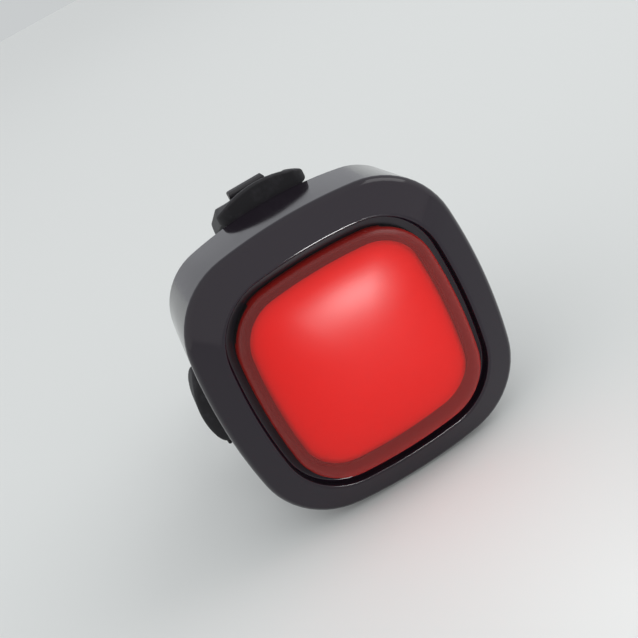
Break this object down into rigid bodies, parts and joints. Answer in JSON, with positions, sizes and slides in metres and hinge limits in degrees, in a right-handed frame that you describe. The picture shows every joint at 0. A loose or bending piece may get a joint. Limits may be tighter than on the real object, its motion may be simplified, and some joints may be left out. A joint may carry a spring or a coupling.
{
  "type": "strap-on rear bike light",
  "caption": "Square rear light with a domed red lens, a rubber strap hooked round a seatpost, a capped charging port and a side button.",
  "frame": {"origin": "on the seatpost's axis, level with the middle of the light", "axes": "+X along the seatpost, +Y from the lit face back to the post, +Z from the post towards the side where the strap hooks on"},
  "size_m": [0.0508, 0.071, 0.0505],
  "materials": {
    "case_black": "satin black moulding",
    "lens_red": "clear red, polished",
    "diffuser_white": "milky white",
    "tray_white": "white reflector",
    "led_body": "pale package with a clear window",
    "board_green": "solder mask",
    "chip_black": "moulded package",
    "resistor_body": "ceramic with tinned ends",
    "switch_body": "tin-plated can",
    "screw_steel": "zinc plated",
    "socket_steel": "nickel plated",
    "tongue_black": "moulded",
    "connector_ivory": "moulded",
    "cell_foil": "laminated foil pouch",
    "foam_black": "foam tape",
    "wire_red": "insulated lead",
    "wire_black": "insulated lead",
    "seal_rubber": "soft seal",
    "strap_rubber": "matt stretchy rubber",
    "cover_rubber": "matt soft rubber",
    "mount_black": "fine-grained moulding"
  },
  "bodies": {
    "light": {"front_shell": "case_black", "lens": "lens_red", "lens_seal": "seal_rubber", "diffuser": "diffuser_white", "light_tray": "tray_white", "leds": "led_body", "circuit_board": "board_green", "control_chips": "chip_black", "chip_resistors": "resistor_body", "board_screws": "screw_steel", "tactile_switch": "switch_body", "usb_socket": "socket_steel", "usb_tongue": "tongue_black", "battery_connector": "connector_ivory", "battery_cell": "cell_foil", "battery_tape": "foam_black", "battery_wire_red": "wire_red", "battery_wire_black": "wire_black", "rear_cover": "case_black", "cover_gasket": "seal_rubber", "case_screws": "screw_steel", "mount_base": "mount_black", "mount_screws": "screw_steel", "saddle_pad": "strap_rubber", "strap_pin": "screw_steel", "strap": "strap_rubber", "port_cover_root": "cover_rubber"},
    "power_button": {"power_button": "cover_rubber"},
    "port_cover": {"port_cover": "cover_rubber"},
    "strap_tab": {"strap_tab": "strap_rubber"}
  },
  "joints": [
    {"name": "power_button_press", "type": "slide", "parent": "light", "child": "power_button", "axis": [-1, 0, 0], "range_m": [0, 0.0008], "stiffness_N_per_m": 800},
    {"name": "port_cover_flap", "type": "hinge", "parent": "light", "child": "port_cover", "pos_m": [-0.02501, -0.03847, 0.005], "axis": [0.0136, 0.9999, 0], "range_deg": [0, 100], "stiffness_Nm_per_rad": 0.002},
    {"name": "strap_tab_lift", "type": "hinge", "parent": "light", "child": "strap_tab", "pos_m": [0, -0.0193, 0.0231], "axis": [-1, 0, 0], "range_deg": [0, 80], "stiffness_Nm_per_rad": 0.005}
  ]
}
